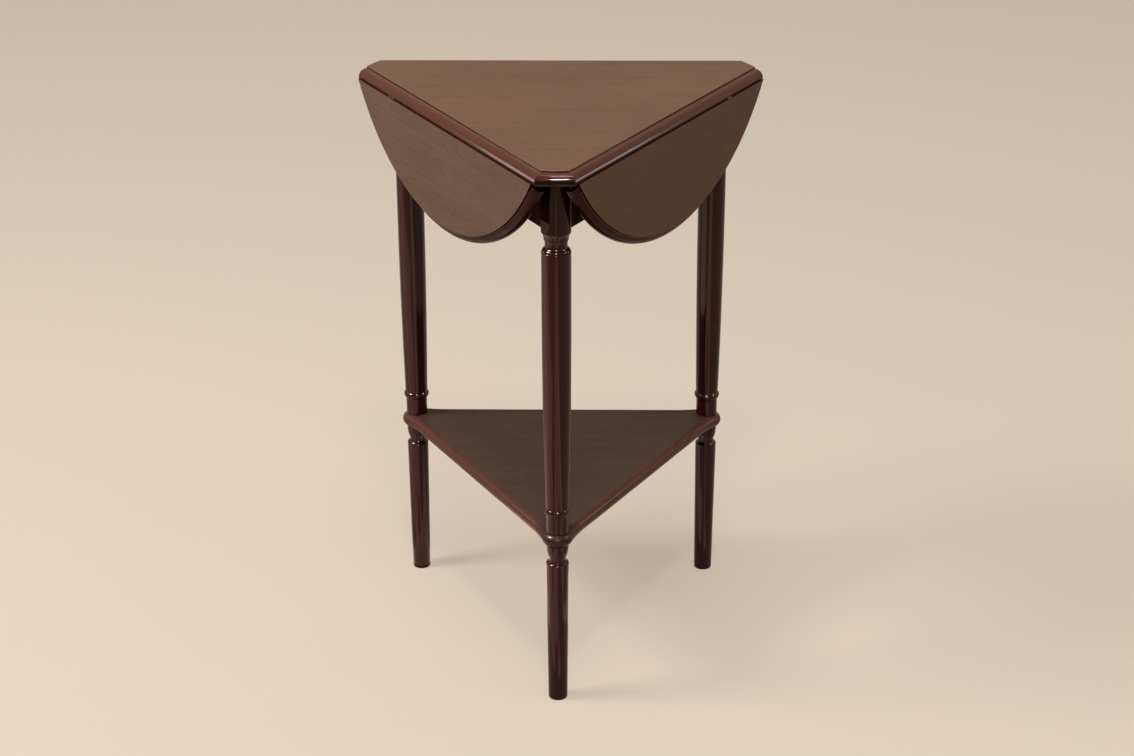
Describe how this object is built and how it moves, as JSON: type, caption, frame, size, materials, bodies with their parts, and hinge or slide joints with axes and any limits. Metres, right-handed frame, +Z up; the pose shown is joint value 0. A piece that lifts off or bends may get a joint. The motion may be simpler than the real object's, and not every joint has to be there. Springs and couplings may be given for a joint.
{
  "type": "drop-leaf accent table",
  "caption": "Small accent table: triangular centre top that turns on its frame, rounded drop leaves on rule joints, turned legs and a low triangular shelf.",
  "frame": {"origin": "on the floor, under the middle of the object's box; the axis that the top turns about is 52.4 mm behind it", "axes": "+Z up, -Y towards the front leg, +X to the right as seen from the front"},
  "size_m": [0.4414, 0.3852, 0.61],
  "materials": {
    "turned_wood": "gloss lacquer over dark red-brown stain",
    "top_wood": "satin lacquer over dark brown stain",
    "shelf_wood": "satin lacquer over dark brown stain",
    "apron_wood": "satin lacquer over dark brown stain",
    "inner_wood": "bare, lightly stained",
    "felt": "felt",
    "brass": "dull plate",
    "steel": "zinc plate"
  },
  "bodies": {
    "base": {"upper_leg_front": "turned_wood", "upper_leg_right": "turned_wood", "upper_leg_left": "turned_wood", "lower_leg_front": "turned_wood", "lower_leg_right": "turned_wood", "lower_leg_left": "turned_wood", "shelf": "shelf_wood", "leg_rods": "steel", "leg_inserts": "brass", "apron_left": "apron_wood", "apron_right": "apron_wood", "apron_back": "apron_wood", "corner_block_front": "inner_wood", "corner_block_right": "inner_wood", "corner_block_left": "inner_wood", "corner_block_screws": "steel", "hanger_bolts": "steel", "hanger_washers": "steel", "hanger_nuts": "steel", "pivot_rail": "inner_wood", "felt_pads": "felt"},
    "top": {"centre_top": "top_wood", "pivot_plate": "steel", "pivot_screws": "steel", "pivot_washer": "steel", "pivot_nut": "steel", "hinge_plates_left": "brass", "hinge_pins_left": "steel", "hinge_screws_left": "brass", "hinge_plates_right": "brass", "hinge_pins_right": "steel", "hinge_screws_right": "brass", "hinge_plates_back": "brass", "hinge_pins_back": "steel", "hinge_screws_back": "brass"},
    "leaf_left": {"leaf_left": "top_wood", "leaf_plates_left": "brass", "leaf_screws_left": "brass"},
    "leaf_right": {"leaf_right": "top_wood", "leaf_plates_right": "brass", "leaf_screws_right": "brass"},
    "leaf_back": {"leaf_back": "top_wood", "leaf_plates_back": "brass", "leaf_screws_back": "brass"}
  },
  "joints": [
    {"name": "top_swivel", "type": "hinge", "parent": "base", "child": "top", "pos_m": [0, 0.0524, 0.586], "axis": [0, 0, 1], "range_deg": [-5, 5]},
    {"name": "leaf_left_hinge", "type": "hinge", "parent": "top", "child": "leaf_left", "pos_m": [-0.11172, -0.0121, 0.5988], "axis": [-0.5, 0.866, 0], "range_deg": [0, 90]},
    {"name": "leaf_right_hinge", "type": "hinge", "parent": "top", "child": "leaf_right", "pos_m": [0.11172, -0.0121, 0.5988], "axis": [-0.5, -0.866, 0], "range_deg": [0, 90]},
    {"name": "leaf_back_hinge", "type": "hinge", "parent": "top", "child": "leaf_back", "pos_m": [0, 0.1814, 0.5988], "axis": [1, 0, 0], "range_deg": [0, 90]}
  ]
}
